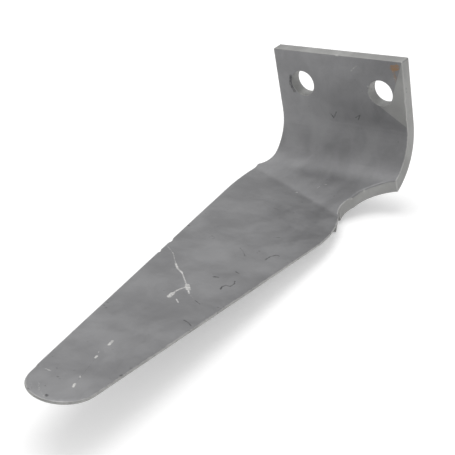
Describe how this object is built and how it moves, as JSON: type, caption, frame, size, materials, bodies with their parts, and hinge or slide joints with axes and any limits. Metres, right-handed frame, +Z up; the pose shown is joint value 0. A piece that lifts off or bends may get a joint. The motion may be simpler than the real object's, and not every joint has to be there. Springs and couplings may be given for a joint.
{
  "type": "harrow tine",
  "caption": "Bent flat steel tine with a bolt flange, a notched and creased neck, and a long tapering blade with ground edges and a rounded tip.",
  "frame": {"origin": "middle of the bolt pattern, on the seating face of the flange (the face away from the blade)", "axes": "+X along the row of holes to the notched side, +Y along the bolts out of the seating face, +Z up the flange; the blade runs out towards -Y"},
  "size_m": [0.1411, 0.3398, 0.0884],
  "materials": {
    "steel": "dull bare steel with mill scale, scratches and light rust"
  },
  "bodies": {
    "root": {"harrow_tine": "steel"}
  },
  "joints": []
}
